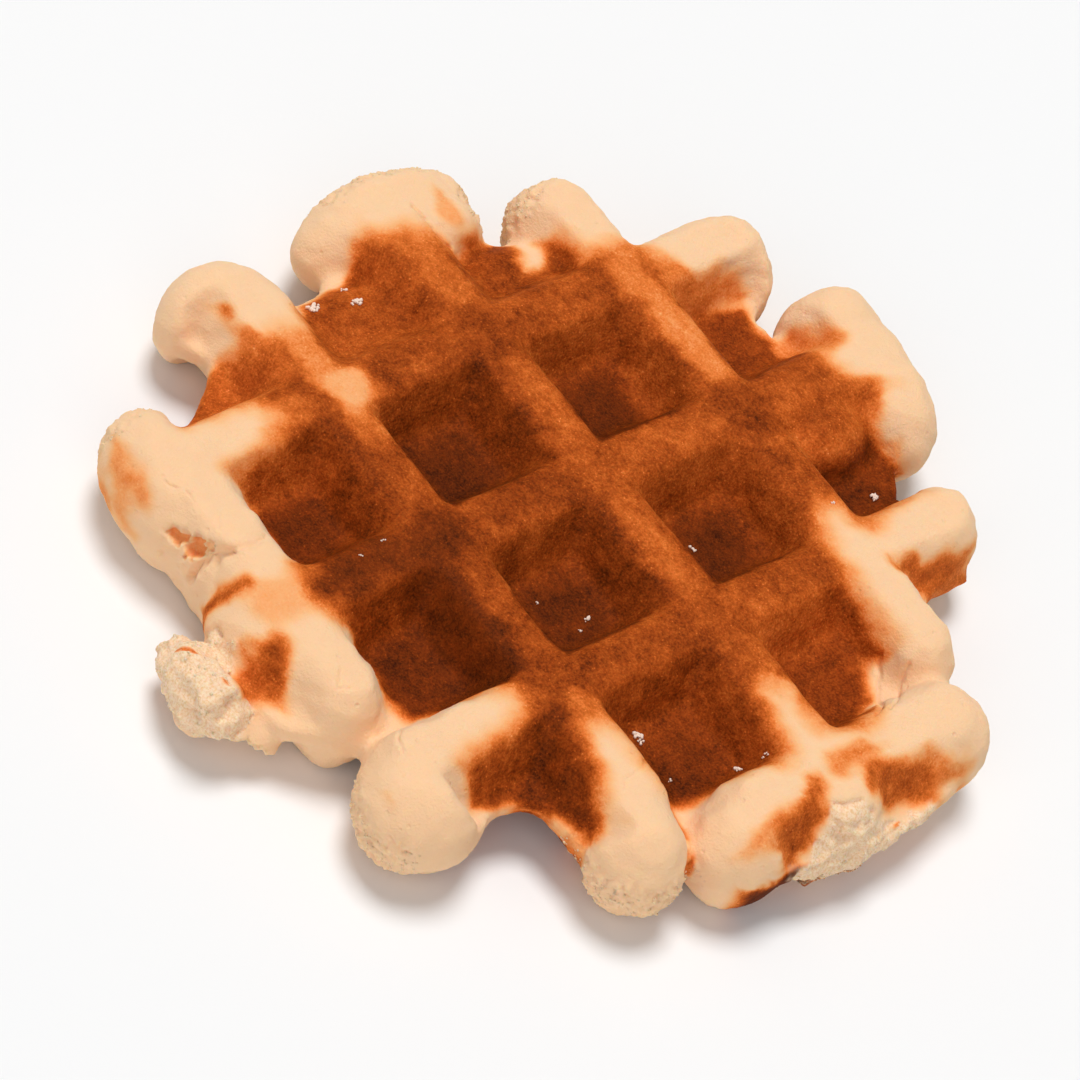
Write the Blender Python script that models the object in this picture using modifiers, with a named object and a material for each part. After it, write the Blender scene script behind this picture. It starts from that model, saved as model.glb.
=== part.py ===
"""Belgian waffle: dough baked between two irons into a grid of pits, with rounded lobes at the ends
of its ridges and two torn places on its rim.

Everything is laid out in grid steps, one step from ridge to ridge. A ridge along X lies on a whole
step of y and a ridge along Y on a whole step of x. Heights are counted from mid thickness, in grid
steps too, and GRID_STEP turns them all into metres.
"""
import math
import random

import bpy
from mathutils import Vector

# Driving sizes, in metres.
GRID_STEP = 0.024
THICKNESS = 0.0154

# The grid point over the part's origin, which is the middle of the waffle's box.
ORIGIN_X = 1.058
ORIGIN_Y = 0.883

# The iron's ridges and pits, in grid steps.
RIDGE_TOP_HALF = 0.13
PIT_DEPTH = 0.26
PIT_WALL_RUN = 0.155
PIT_ROUNDING = 0.07
PIT_ROUNDING_STEPS = 2
PITS_PER_SIDE = 4
FIRST_PIT_LINE = -1

# Mid height to a face, and half the thin web that is left under the pits.
HALF = THICKNESS / GRID_STEP / 2
WEB_HALF = HALF - PIT_DEPTH

# Fineness of the dough before the irons shape it.
VOXEL = 0.0007
SOFTENING_STEPS = 6
DOUGH_TRIANGLES = 3300

# Ridges along X: line of y, first and last end centre in x, half width.
RIDGES_ALONG_X = [
    (0.00, -0.80, 2.82, 0.30),
    (1.00, -0.90, 3.10, 0.29),
    (2.00, -0.64, 2.58, 0.24),
    (-0.92, -0.10, 1.50, 0.22),
]
# Ridges along Y: line of x, first and last end centre in y, half width.
RIDGES_ALONG_Y = [
    (0.02, -0.90, 2.72, 0.28),
    (1.00, -0.95, 2.90, 0.29),
    (2.01, -0.85, 2.64, 0.24),
    (3.02, 0.45, 1.81, 0.27),
]
RIDGE_HALF_HEIGHT = 0.36

# Dough that swelled past the grid: centre x, y, height, then radii along x, y and z.
LOBES = {
    "left end of ridge 1": (-0.84, -0.07, 0.00, 0.28, 0.32, 0.34),
    "left end of ridge 2": (-0.98, 1.12, 0.00, 0.31, 0.57, 0.35),
    "right side of ridge 2's left end": (-0.78, 1.38, 0.00, 0.27, 0.26, 0.33),
    "right end of ridge 1": (2.84, -0.02, 0.00, 0.31, 0.31, 0.34),
    "lower end of cross ridge 1": (-0.01, -0.93, 0.01, 0.53, 0.31, 0.34),
    "upper end of cross ridge 1": (0.10, 2.68, 0.00, 0.28, 0.29, 0.34),
    "lower end of cross ridge 2": (1.12, -0.97, 0.00, 0.50, 0.31, 0.34),
    "underside of cross ridge 2": (1.28, -1.28, -0.16, 0.22, 0.18, 0.15),
    "upper end of cross ridge 2": (0.97, 2.96, 0.00, 0.60, 0.36, 0.35),
    "lower end of cross ridge 3": (2.14, -0.86, 0.00, 0.33, 0.34, 0.35),
    "underside of cross ridge 3": (2.12, 2.60, -0.15, 0.24, 0.22, 0.17),
    "lower end of cross ridge 4": (3.05, 0.45, -0.02, 0.28, 0.32, 0.34),
    "upper end of cross ridge 4": (3.02, 1.82, 0.00, 0.28, 0.30, 0.34),
}

# The web's rim, in order round the waffle.
WEB_RIM = [
    (-0.75, -0.15), (-0.72, 0.50), (-0.95, 0.75), (-0.95, 1.50), (-0.68, 1.72), (-0.55, 2.05),
    (-0.25, 2.35), (0.10, 2.70), (0.40, 2.68), (0.70, 2.70), (1.00, 2.95), (1.40, 2.78),
    (1.62, 2.72), (1.76, 2.58), (1.82, 2.40), (2.20, 2.66), (2.33, 2.35), (2.60, 2.10),
    (2.85, 1.90), (3.26, 1.80), (3.36, 1.55), (3.40, 1.15), (3.38, 0.80), (3.30, 0.50),
    (3.00, 0.35), (2.90, 0.00), (2.74, -0.30), (2.56, -0.32), (2.42, -0.36), (2.36, -0.52),
    (2.32, -0.75), (1.85, -0.85), (1.62, -1.12), (1.45, -1.26), (0.75, -1.22), (0.50, -1.00),
    (-0.10, -0.95), (-0.34, -0.55), (-0.54, -0.32),
]

# Torn places: the two ends of the tear, the size of its crumbs and how far they scatter.
TEARS = {
    "lower rim": ((0.76, -1.34), (1.28, -1.42), 0.15, 0.04),
    "right rim": ((3.31, 0.72), (3.34, 1.48), 0.09, 0.03),
}
CRUMBS_PER_TEAR = 14
CRUMB_LOWEST = -0.16
CRUMB_HIGHEST = 0.12

# Open pits beyond the outer ridges: lowest and highest x, then lowest and highest y.
OPEN_PITS = [
    (3.13, 3.95, 0.42, 0.87),
    (3.13, 3.95, 1.13, 1.70),
    (0.48, 0.87, -1.90, -1.13),
    (1.15, 1.62, -1.95, -1.15),
]

# The baked crust's mean colour, linear, and its finish.
CRUST_COLOUR = (0.45, 0.13, 0.03, 1.0)
CRUST_ROUGHNESS = 0.75


def clear_scene():
    for scene_object in list(bpy.data.objects):
        bpy.data.objects.remove(scene_object)


def place(x, y, height=0.0):
    """The point in metres, in the part's frame, of a point in grid steps."""
    return Vector((x - ORIGIN_X, y - ORIGIN_Y, height + HALF)) * GRID_STEP


def apply_modifier(target, kind, **settings):
    modifier = target.modifiers.new(kind.lower(), kind)
    for name, value in settings.items():
        setattr(modifier, name, value)
    bpy.context.view_layer.objects.active = target
    bpy.ops.object.modifier_apply(modifier=modifier.name)


def join(pieces, name):
    bpy.ops.object.select_all(action="DESELECT")
    for piece in pieces:
        piece.select_set(True)
    bpy.context.view_layer.objects.active = pieces[0]
    bpy.ops.object.transform_apply(location=True, rotation=True, scale=True)
    bpy.ops.object.join()
    bpy.context.object.name = name
    return bpy.context.object


def egg(x, y, height, radius_x, radius_y, radius_z, reach_x=0.0, reach_y=0.0):
    """An egg of dough. A reach pulls its two halves apart, which makes a bar with round ends."""
    bpy.ops.mesh.primitive_uv_sphere_add(segments=32, ring_count=16, radius=1.0)
    shape = bpy.context.object
    for vertex in shape.data.vertices:
        pull_x = 0.0 if abs(vertex.co.x) < 1e-6 else math.copysign(reach_x, vertex.co.x)
        pull_y = 0.0 if abs(vertex.co.y) < 1e-6 else math.copysign(reach_y, vertex.co.y)
        vertex.co.x = (vertex.co.x * radius_x + pull_x) * GRID_STEP
        vertex.co.y = (vertex.co.y * radius_y + pull_y) * GRID_STEP
        vertex.co.z = vertex.co.z * radius_z * GRID_STEP
    shape.location = place(x, y, height)
    return shape


def ridge_bars():
    bars = []
    for line, first, last, half_width in RIDGES_ALONG_X:
        bars.append(egg((first + last) / 2, line, 0.0, half_width, half_width,
                        RIDGE_HALF_HEIGHT, reach_x=(last - first) / 2))
    for line, first, last, half_width in RIDGES_ALONG_Y:
        bars.append(egg(line, (first + last) / 2, 0.0, half_width, half_width,
                        RIDGE_HALF_HEIGHT, reach_y=(last - first) / 2))
    return bars


def web_sheet():
    """The thin sheet under the pits: a flat outline with thickness, made a mesh."""
    curve = bpy.data.curves.new("web_rim", "CURVE")
    curve.dimensions = "2D"
    curve.fill_mode = "BOTH"
    curve.extrude = WEB_HALF * GRID_STEP
    spline = curve.splines.new("POLY")
    spline.points.add(len(WEB_RIM) - 1)
    for point, (x, y) in zip(spline.points, WEB_RIM):
        point.co = (*place(x, y).xy, 0.0, 1.0)
    spline.use_cyclic_u = True
    outline = bpy.data.objects.new("web_rim", curve)
    bpy.context.collection.objects.link(outline)
    bpy.context.view_layer.update()
    depsgraph = bpy.context.evaluated_depsgraph_get()
    mesh = bpy.data.meshes.new_from_object(outline.evaluated_get(depsgraph))
    bpy.data.objects.remove(outline)
    sheet = bpy.data.objects.new("web_sheet", mesh)
    bpy.context.collection.objects.link(sheet)
    sheet.location.z = HALF * GRID_STEP
    return sheet


def torn_crumbs():
    """Lumps along each tear, which leave its edge ragged."""
    chance = random.Random(7)
    lumps = []
    for (start_x, start_y), (end_x, end_y), size, scatter in TEARS.values():
        for number in range(CRUMBS_PER_TEAR):
            along = number / (CRUMBS_PER_TEAR - 1)
            x = start_x + (end_x - start_x) * along + chance.uniform(-scatter, scatter)
            y = start_y + (end_y - start_y) * along + chance.uniform(-scatter, scatter)
            height = chance.uniform(CRUMB_LOWEST, CRUMB_HIGHEST)
            radius = size * chance.uniform(0.55, 1.0)
            lumps.append(egg(x, y, height, radius, radius, radius))
    return lumps


def make_dough():
    """The risen dough as one soft skin, before the irons shape its two faces."""
    swellings = [egg(*sizes) for sizes in LOBES.values()]
    dough = join([web_sheet()] + ridge_bars() + swellings + torn_crumbs(), "waffle")
    apply_modifier(dough, "REMESH", mode="VOXEL", voxel_size=VOXEL)
    apply_modifier(dough, "SMOOTH", factor=0.5, iterations=SOFTENING_STEPS)
    triangles = sum(len(face.vertices) - 2 for face in dough.data.polygons)
    apply_modifier(dough, "DECIMATE", ratio=DOUGH_TRIANGLES / triangles)
    return dough


def pyramid(low_x, high_x, low_y, high_y, side):
    """A blunt pyramid of the iron, pressed in from above (side 1) or from below (side -1)."""
    over = 0.10
    mouth_spread = PIT_WALL_RUN / PIT_DEPTH * over
    bpy.ops.mesh.primitive_cube_add(size=1.0)
    cutter = bpy.context.object
    for vertex in cutter.data.vertices:
        inset = PIT_WALL_RUN if vertex.co.z < 0 else -mouth_spread
        vertex.co.x *= (high_x - low_x - 2 * inset) * GRID_STEP
        vertex.co.y *= (high_y - low_y - 2 * inset) * GRID_STEP
        vertex.co.z *= (PIT_DEPTH + over) * GRID_STEP
    apply_modifier(cutter, "BEVEL", width=PIT_ROUNDING * GRID_STEP, segments=PIT_ROUNDING_STEPS)
    if side < 0:
        cutter.rotation_euler.x = math.pi
    height = side * (WEB_HALF + (PIT_DEPTH + over) / 2)
    cutter.location = place((low_x + high_x) / 2, (low_y + high_y) / 2, height)
    return cutter


def pit_mouths():
    """Every pit's mouth as lowest and highest x, then lowest and highest y."""
    mouths = list(OPEN_PITS)
    lines = range(FIRST_PIT_LINE, FIRST_PIT_LINE + PITS_PER_SIDE)
    for x in lines:
        for y in lines:
            mouths.append((x + RIDGE_TOP_HALF, x + 1 - RIDGE_TOP_HALF,
                           y + RIDGE_TOP_HALF, y + 1 - RIDGE_TOP_HALF))
    return mouths


def cut(target, cutter, operation):
    apply_modifier(target, "BOOLEAN", operation=operation, object=cutter, solver="EXACT")
    bpy.data.objects.remove(cutter)


def press(dough):
    """Flattens both faces between the irons and presses the pits in."""
    bpy.ops.mesh.primitive_cube_add(size=1.0, location=place(ORIGIN_X, ORIGIN_Y))
    gap = bpy.context.object
    gap.scale = (10 * GRID_STEP, 10 * GRID_STEP, THICKNESS)
    bpy.ops.object.transform_apply(location=False, rotation=False, scale=True)
    cut(dough, gap, "INTERSECT")
    for side in (1, -1):
        iron = join([pyramid(*mouth, side) for mouth in pit_mouths()], "iron")
        cut(dough, iron, "DIFFERENCE")


def crust_material():
    material = bpy.data.materials.new("baked_crust")
    material.use_nodes = True
    shader = material.node_tree.nodes["Principled BSDF"]
    shader.inputs["Base Color"].default_value = CRUST_COLOUR
    shader.inputs["Roughness"].default_value = CRUST_ROUGHNESS
    shader.inputs["Metallic"].default_value = 0.0
    return material


def make_waffle():
    waffle = make_dough()
    press(waffle)
    waffle.data.materials.clear()
    waffle.data.materials.append(crust_material())
    collection = bpy.data.collections.new("belgian_waffle")
    bpy.context.scene.collection.children.link(collection)
    for owner in list(waffle.users_collection):
        owner.objects.unlink(waffle)
    collection.objects.link(waffle)
    return waffle


clear_scene()
make_waffle()
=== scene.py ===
"""Looks of a belgian waffle: sugared yeast dough baked between two irons, browned where the irons
pressed it, pale and soft where it swelled past them, and torn to the crumb at two places.

Everything is laid out in grid steps, one step from ridge to ridge, as the solid is. Heights are
counted from mid thickness. The step comes from the solid's thickness.
"""
import math
import random

import bpy
import numpy as np
from mathutils import Matrix, Vector, noise


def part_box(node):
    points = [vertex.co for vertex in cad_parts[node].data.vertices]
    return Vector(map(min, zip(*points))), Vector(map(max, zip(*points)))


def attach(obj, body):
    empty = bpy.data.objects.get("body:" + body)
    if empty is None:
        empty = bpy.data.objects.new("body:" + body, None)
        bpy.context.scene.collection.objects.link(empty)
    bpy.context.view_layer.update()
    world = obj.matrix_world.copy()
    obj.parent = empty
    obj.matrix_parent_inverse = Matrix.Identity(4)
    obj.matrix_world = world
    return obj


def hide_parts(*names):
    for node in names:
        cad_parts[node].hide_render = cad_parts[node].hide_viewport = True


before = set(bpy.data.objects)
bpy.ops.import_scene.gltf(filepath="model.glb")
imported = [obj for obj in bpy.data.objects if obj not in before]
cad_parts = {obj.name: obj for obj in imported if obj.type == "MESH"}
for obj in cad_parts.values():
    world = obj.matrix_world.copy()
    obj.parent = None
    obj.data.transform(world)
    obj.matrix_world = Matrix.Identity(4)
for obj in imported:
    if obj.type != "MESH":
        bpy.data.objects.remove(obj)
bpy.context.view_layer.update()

# The dough -----------------------------------------------------------------------------------
# One piece of yeast dough that rose between two hot irons. Their pegs left the grid of pits on
# both faces. Dough that ran past the last pegs swelled into round lobes, which no iron touched.
lowest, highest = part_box("waffle")
thickness = highest.z - lowest.z
thickness_mm = 15.4
grid_step_mm = 24
millimetre = thickness / thickness_mm
grid_step = grid_step_mm * millimetre
half = thickness / grid_step / 2
# Where the frame's origin lies on the grid.
origin_x = 1.058
origin_y = 0.883

# The irons' pegs: half the flat top they leave on a ridge, how deep they reach, how far their walls
# slope, and how round their edges and corners are. The ridges swell past the irons' faces, which
# press them flat again.
ridge_top_half = 0.11
pit_depth = 0.26
pit_wall_run = 0.165
wall_rounding = 0.30
corner_rounding = 0.035
face_softness = 0.02
web_half = half - pit_depth
ridge_half_height = 0.36

# Ridges along X: line of y, first and last end centre in x, half width.
ridges_along_x = [
    (0.00, -0.74, 2.60, 0.28),
    (1.00, -0.86, 3.10, 0.29),
    (2.00, -0.58, 2.58, 0.24),
    (-0.92, -0.10, 1.50, 0.22),
]
# Ridges along Y: line of x, first and last end centre in y, half width.
ridges_along_y = [
    (0.02, -0.90, 2.72, 0.28),
    (1.00, -0.95, 2.90, 0.29),
    (2.01, -0.85, 2.64, 0.24),
    (3.02, 0.56, 1.81, 0.27),
]
# Lobes: centre x, y, height, then radii along x, y and z.
lobes = {
    "left end of ridge 1": (-0.84, -0.10, 0.00, 0.28, 0.31, 0.34),
    "left end of ridge 2": (-0.97, 1.11, 0.00, 0.30, 0.56, 0.35),
    "right side of ridge 2's left end": (-0.77, 1.35, 0.00, 0.23, 0.23, 0.33),
    "left end of ridge 3": (-0.60, 1.97, 0.00, 0.25, 0.24, 0.34),
    "right end of ridge 1": (2.84, -0.07, 0.00, 0.31, 0.25, 0.34),
    "lower end of cross ridge 1": (0.03, -0.93, 0.01, 0.50, 0.31, 0.34),
    "upper end of cross ridge 1": (0.10, 2.68, 0.00, 0.28, 0.29, 0.34),
    "lower end of cross ridge 2": (1.04, -0.97, 0.00, 0.45, 0.31, 0.34),
    "towards cross ridge 3": (1.44, -0.91, 0.00, 0.26, 0.24, 0.32),
    "underside of cross ridge 2": (1.28, -1.28, -0.16, 0.22, 0.18, 0.15),
    "upper end of cross ridge 2": (1.15, 2.92, 0.00, 0.45, 0.31, 0.35),
    "left side of cross ridge 2's upper end": (0.68, 2.99, 0.00, 0.27, 0.31, 0.34),
    "between its two sides": (0.96, 2.97, 0.00, 0.30, 0.31, 0.35),
    "below its upper right side": (1.27, 2.42, 0.00, 0.24, 0.32, 0.31),
    "lower end of cross ridge 3": (2.14, -0.86, 0.00, 0.33, 0.34, 0.35),
    "underside of cross ridge 3": (2.12, 2.60, -0.15, 0.24, 0.22, 0.17),
    "lower end of cross ridge 4": (3.06, 0.46, -0.02, 0.27, 0.29, 0.34),
    "browned rim below it": (3.25, 0.70, -0.20, 0.12, 0.16, 0.10),
    "upper end of cross ridge 4": (3.02, 1.82, 0.00, 0.28, 0.30, 0.34),
    "thick web between ridges 1 and 2": (-0.34, 0.50, 0.00, 0.40, 0.56, 0.21),
    "thick web between ridges 2 and 3": (-0.28, 1.50, 0.00, 0.34, 0.42, 0.21),
}
# The thin web's rim, in order round the waffle.
web_rim = [
    (-0.75, -0.15), (-0.72, 0.50), (-0.95, 0.75), (-0.80, 1.36), (-0.66, 1.52), (-0.56, 1.86),
    (-0.25, 2.35), (0.10, 2.70), (0.40, 2.68), (0.70, 2.70), (1.00, 2.95), (1.40, 2.78),
    (1.62, 2.72), (1.76, 2.58), (1.82, 2.40), (2.20, 2.66), (2.33, 2.35), (2.60, 2.10),
    (2.85, 1.90), (3.26, 1.80), (3.36, 1.55), (3.40, 1.15), (3.38, 0.80), (3.30, 0.50),
    (3.06, 0.22), (2.96, 0.00), (2.74, -0.30), (2.56, -0.32), (2.42, -0.36), (2.36, -0.52),
    (2.32, -0.75), (1.85, -0.85), (1.62, -1.12), (1.45, -1.26), (0.75, -1.22), (0.50, -1.00),
    (-0.10, -0.95), (-0.34, -0.55), (-0.54, -0.32),
]
# Open pits beyond the outer ridges: lowest and highest x, then lowest and highest y.
open_pits = [
    (3.13, 3.95, 0.42, 0.87),
    (3.13, 3.95, 1.13, 1.70),
    (0.48, 0.87, -1.90, -1.13),
    (1.15, 1.62, -1.95, -1.15),
]
# The dough stayed thick under the pegs at the left rim, whose pits are shallower than the rest, and
# it covers part of one pit at the upper rim, which is left with a narrower mouth.
left_pit_share = 0.50
left_pit_start = -0.60
narrow_pit = (1, 2)
narrow_pit_mouth = (1.44, 1.89, 2.25, 2.89)
# The lower lobes reach into the pits beside them.
lower_pit_start = -0.80
# Noise that leaves no pit quite square: its spacing and how far it moves the walls.
pit_unevenness = ((0.45, 0.03), (0.12, 0.012))
# All noise vectors are seeded, so that each run gives the same waffle.
noise.seed_set(3)


def at(x, y, height=0.0):
    """The point in metres of a point in grid steps."""
    return Vector((x - origin_x, y - origin_y, height + half)) * grid_step


def select_only(*objects):
    if bpy.context.object and bpy.context.object.mode != "OBJECT":
        bpy.ops.object.mode_set(mode="OBJECT")
    bpy.ops.object.select_all(action="DESELECT")
    for item in objects:
        item.select_set(True)
    bpy.context.view_layer.objects.active = objects[0]


def apply_modifier(target, kind, **settings):
    modifier = target.modifiers.new(kind.lower(), kind)
    for name, value in settings.items():
        setattr(modifier, name, value)
    select_only(target)
    bpy.ops.object.modifier_apply(modifier=modifier.name)


def join(objects, name):
    select_only(*objects)
    bpy.ops.object.transform_apply(location=True, rotation=True, scale=True)
    bpy.ops.object.join()
    bpy.context.object.name = name
    return bpy.context.object


def egg(x, y, height, radius_x, radius_y, radius_z, reach_x=0.0, reach_y=0.0):
    """An egg of dough. A reach pulls its two halves apart, which makes a bar with round ends."""
    bpy.ops.mesh.primitive_uv_sphere_add(segments=48, ring_count=24, radius=1.0)
    shape = bpy.context.object
    for vertex in shape.data.vertices:
        pull_x = 0.0 if abs(vertex.co.x) < 1e-6 else math.copysign(reach_x, vertex.co.x)
        pull_y = 0.0 if abs(vertex.co.y) < 1e-6 else math.copysign(reach_y, vertex.co.y)
        vertex.co.x = (vertex.co.x * radius_x + pull_x) * grid_step
        vertex.co.y = (vertex.co.y * radius_y + pull_y) * grid_step
        vertex.co.z = vertex.co.z * radius_z * grid_step
    shape.location = at(x, y, height)
    return shape


def ridge_bars():
    bars = []
    for line, first, last, half_width in ridges_along_x:
        bars.append(egg((first + last) / 2, line, 0.0, half_width, half_width,
                        ridge_half_height, reach_x=(last - first) / 2))
    for line, first, last, half_width in ridges_along_y:
        bars.append(egg(line, (first + last) / 2, 0.0, half_width, half_width,
                        ridge_half_height, reach_y=(last - first) / 2))
    return bars


def web_sheet():
    """The thin sheet under the pits: a smooth flat outline with thickness, made a mesh."""
    curve = bpy.data.curves.new("web_rim", "CURVE")
    curve.dimensions = "2D"
    curve.fill_mode = "BOTH"
    curve.extrude = web_half * grid_step
    curve.resolution_u = 4
    spline = curve.splines.new("BEZIER")
    spline.bezier_points.add(len(web_rim) - 1)
    for point, (x, y) in zip(spline.bezier_points, web_rim):
        point.co = (*at(x, y).xy, 0.0)
        point.handle_left_type = "AUTO"
        point.handle_right_type = "AUTO"
    spline.use_cyclic_u = True
    outline = bpy.data.objects.new("web_rim", curve)
    bpy.context.collection.objects.link(outline)
    outline.location.z = half * grid_step
    select_only(outline)
    bpy.ops.object.convert(target="MESH")
    sheet = bpy.context.object
    bpy.ops.object.mode_set(mode="EDIT")
    bpy.ops.mesh.select_all(action="SELECT")
    bpy.ops.mesh.remove_doubles(threshold=0.00001)
    bpy.ops.object.mode_set(mode="OBJECT")
    return sheet


def pit_mouths():
    """Every pit's mouth as lowest and highest x, lowest and highest y, and its share of the depth."""
    mouths = [(*open_pit, 1.0) for open_pit in open_pits]
    for x in range(-1, 3):
        for y in range(-1, 3):
            at_left_rim = x == -1 and y >= 0
            by_lower_lobes = y == -1 and x in (0, 1)
            low_x = left_pit_start if at_left_rim else x + ridge_top_half
            low_y = lower_pit_start if by_lower_lobes else y + ridge_top_half
            mouth = (low_x, x + 1 - ridge_top_half, low_y, y + 1 - ridge_top_half)
            if (x, y) == narrow_pit:
                mouth = narrow_pit_mouth
            mouths.append((*mouth, left_pit_share if at_left_rim else 1.0))
    return mouths


def mesh_points(target):
    points = np.empty(len(target.data.vertices) * 3)
    target.data.vertices.foreach_get("co", points)
    return points.reshape(-1, 3)


def move_points(target, points):
    target.data.vertices.foreach_set("co", points.ravel())
    target.data.update()


def grid_points(points):
    """Points in grid steps: x and y as the layout counts them, height from mid thickness."""
    return points / grid_step + np.array([origin_x, origin_y, -half])


def smooth_step(start, end, values):
    share = np.clip((values - start) / (end - start), 0.0, 1.0)
    return share * share * (3 - 2 * share)


def press(target):
    """Presses both faces between the irons: a vertex beyond the irons' faces comes back to them."""
    points = mesh_points(target)
    places = grid_points(points)
    for spacing, reach in pit_unevenness:
        drift = [noise.noise_vector(place) for place in (places / spacing).tolist()]
        places[:, :2] += reach * np.array(drift)[:, :2]
    x, y, height = places.T
    pressed = np.zeros(len(points))
    for low_x, high_x, low_y, high_y, share in pit_mouths():
        in_x = np.minimum(x - low_x, high_x - x)
        in_y = np.minimum(y - low_y, high_y - y)
        round_off = np.clip(1 - np.abs(in_x - in_y) / corner_rounding, 0.0, 1.0)
        inside = np.minimum(in_x, in_y) - round_off * round_off * corner_rounding / 4
        down = np.clip(inside / pit_wall_run, 0.0, 1.0)
        rounded = np.where(down < wall_rounding, down ** 2 / (2 * wall_rounding),
                           down - wall_rounding / 2) / (1 - wall_rounding / 2)
        pressed = np.maximum(pressed, share * rounded)
    gap = half - pit_depth * pressed
    over = np.abs(height) - gap
    blend = np.clip(0.5 + over / (2 * face_softness), 0.0, 1.0)
    limited = gap + over * (1 - blend) - face_softness * blend * (1 - blend)
    points[:, 2] = (np.sign(height) * limited + half) * grid_step
    move_points(target, points)


# Torn places, where a neighbour was pulled away: path of the crumb's lumps in x and y, radius,
# lowest and highest, number, then the outline of the torn skin round them.
tears = {
    "lower rim": (
        [(0.85, -1.39), (1.02, -1.46), (1.29, -1.47)], 0.15, -0.12, 0.09, 20,
        [(0.60, -1.40), (0.76, -1.31), (0.86, -1.23), (0.97, -1.22), (1.06, -1.26), (1.11, -1.33),
         (1.22, -1.40), (1.28, -1.36), (1.35, -1.31), (1.50, -1.60), (1.20, -1.85), (0.60, -1.75)]),
    "right rim": (
        [(3.30, 0.68), (3.35, 0.98), (3.35, 1.30)], 0.075, -0.14, 0.08, 15,
        [(3.33, 0.58), (3.30, 0.70), (3.25, 0.78), (3.18, 0.87), (3.21, 0.98), (3.26, 1.05),
         (3.31, 1.12), (3.335, 1.30), (3.355, 1.62), (3.60, 1.62), (3.60, 0.58)]),
}
torn_lowest = -0.13
lump_scatter = 0.03
smallest_lump = 0.55
# The torn skin's edge: how fine the noise on it is, how far it reaches, and the step it fades over.
tear_noise_scale = 12
tear_noise_reach = 0.05
tear_edge = (-0.01, 0.02)
tear_low_fade = 0.04

# Flakes of brown skin still held by the crumb: x, y, radius along x and y, turn in degrees, tone.
skin_flakes = [
    (0.93, -1.47, 0.07, 0.018, 35, 0.50), (1.20, -1.44, 0.03, 0.015, 0, 0.45),
    (3.36, 1.26, 0.012, 0.03, 20, 0.40),
]
# Flakes and spots fade over this share of their radius, inside and outside it.
spot_fade = 0.35


def torn_lumps():
    """The swollen crumb of the tears, as balls along their paths."""
    chance = random.Random(7)
    lumps = []
    for path, size, low, high, count, *skin in tears.values():
        for number in range(count):
            x, y = point_on(path, number / (count - 1))
            x += chance.uniform(-lump_scatter, lump_scatter)
            y += chance.uniform(-lump_scatter, lump_scatter)
            radius = size * chance.uniform(smallest_lump, 1.0)
            lumps.append(egg(x, y, chance.uniform(low, high), radius, radius, radius))
    return lumps


def point_on(path, share):
    """The point a share of the way along a path of straight stretches."""
    lengths = [math.dist(start, end) for start, end in zip(path, path[1:])]
    left = share * sum(lengths)
    for start, end, length in zip(path, path[1:], lengths):
        if left <= length:
            break
        left -= length
    part = min(left / length, 1.0)
    return start[0] + (end[0] - start[0]) * part, start[1] + (end[1] - start[1]) * part


# The shapes merge into one skin before the irons press it, and the pressed skin is made even again,
# a little coarser, which leaves room for finer faces at the tears and creases.
merged_skin = 0.5 * millimetre
pressed_skin = 0.68 * millimetre

swellings = [egg(*sizes) for sizes in lobes.values()]
dough = join([web_sheet()] + ridge_bars() + swellings + torn_lumps(), "baked_dough")
apply_modifier(dough, "REMESH", mode="VOXEL", voxel_size=merged_skin)
apply_modifier(dough, "SMOOTH", factor=0.5, iterations=12)
press(dough)

apply_modifier(dough, "REMESH", mode="VOXEL", voxel_size=pressed_skin)
apply_modifier(dough, "SMOOTH", factor=0.5, iterations=3)

# The hole where the crust tore open on the lower left lobe, as ragged ovals: x, y, radius along
# x and y, turn in degrees and the depth in mm.
hole = [
    (0.340, -1.140, 0.060, 0.015, 28, 1.3), (0.440, -1.112, 0.048, 0.020, 5, 1.5),
    (0.500, -1.090, 0.026, 0.015, 30, 0.9),
]
# The hole's inside: tan crumb, darkened further with painted shade of the recess.
hole_tone_and_shade = 0.28
# Its rim wanders by noise, which is worked out only for the points this near.
hole_noise_spacing = 0.03
hole_noise_reach = 0.015
near_the_hole = 0.4
# Seams, folds and cracks in the skin: points in x and y, then half width and depth in mm.
creases = {
    "seam across the left end of ridge 2": (
        [(-0.87, 1.15), (-0.80, 1.17), (-0.71, 1.18), (-0.63, 1.20), (-0.60, 1.24)], 0.16, 0.7),
    "seam between the two lower left lobes": (
        [(0.49, -1.20), (0.51, -1.14), (0.54, -1.11), (0.58, -1.06), (0.61, -1.02)], 0.50, 1.3),
    "its faint end": (
        [(0.61, -1.02), (0.63, -0.94), (0.60, -0.82)], 0.40, 0.5),
    "crack in the lower left lobe": (
        [(0.10, -1.09), (0.13, -1.08), (0.16, -1.065)], 0.11, 0.25),
    "next crack in it": (
        [(0.21, -1.04), (0.24, -1.03), (0.26, -1.035)], 0.10, 0.22),
    "short crack by the hole": (
        [(0.40, -0.96), (0.44, -1.00), (0.48, -1.02)], 0.10, 0.22),
    "fold in the corner pit": (
        [(2.53, 1.79), (2.66, 1.72), (2.75, 1.62), (2.83, 1.50), (2.88, 1.40)], 0.22, 0.5),
    "second fold in the corner pit": (
        [(2.68, 1.84), (2.76, 1.74), (2.83, 1.62), (2.88, 1.50)], 0.18, 0.35),
    "crack across the right end of ridge 1": (
        [(2.55, 0.14), (2.59, 0.09), (2.60, 0.04), (2.60, -0.02), (2.65, -0.08)], 0.12, 0.3),
    "crack in the lower end of cross ridge 3": (
        [(1.84, -0.85), (1.90, -0.92), (1.98, -0.95)], 0.12, 0.3),
    "crack in the lobe of cross ridge 2": (
        [(1.45, -0.95), (1.52, -1.02), (1.56, -0.96)], 0.12, 0.25),
}
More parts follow.
